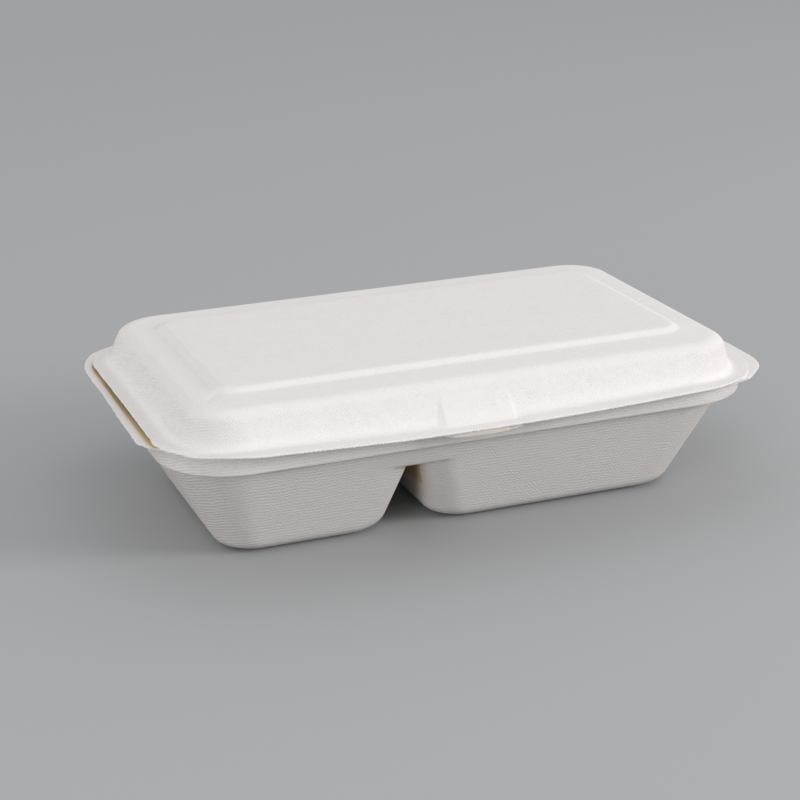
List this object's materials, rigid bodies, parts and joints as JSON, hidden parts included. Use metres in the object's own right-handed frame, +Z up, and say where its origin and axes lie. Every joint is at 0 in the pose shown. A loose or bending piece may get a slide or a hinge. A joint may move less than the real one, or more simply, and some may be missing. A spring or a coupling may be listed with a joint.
{
  "type": "clamshell food container",
  "caption": "Hinged take-away box moulded in off-white sugarcane pulp, shut, with a small and a large compartment, a stepped lid and a front tongue lock.",
  "frame": {"origin": "on the table, under the middle of the box", "axes": "+X along the length with the small compartment at -X, -Y to the front with the lock, +Y to the hinge crease, +Z up"},
  "size_m": [0.2498, 0.1598, 0.0653],
  "materials": {
    "tray": "matte",
    "lid": "matte"
  },
  "bodies": {
    "tray": {"tray": "tray"},
    "lid": {"lid": "lid"}
  },
  "joints": [
    {"name": "lid_hinge", "type": "hinge", "parent": "tray", "child": "lid", "pos_m": [0, 0.08, 0.04815], "axis": [-1, 0, 0], "range_deg": [0, 180]}
  ]
}
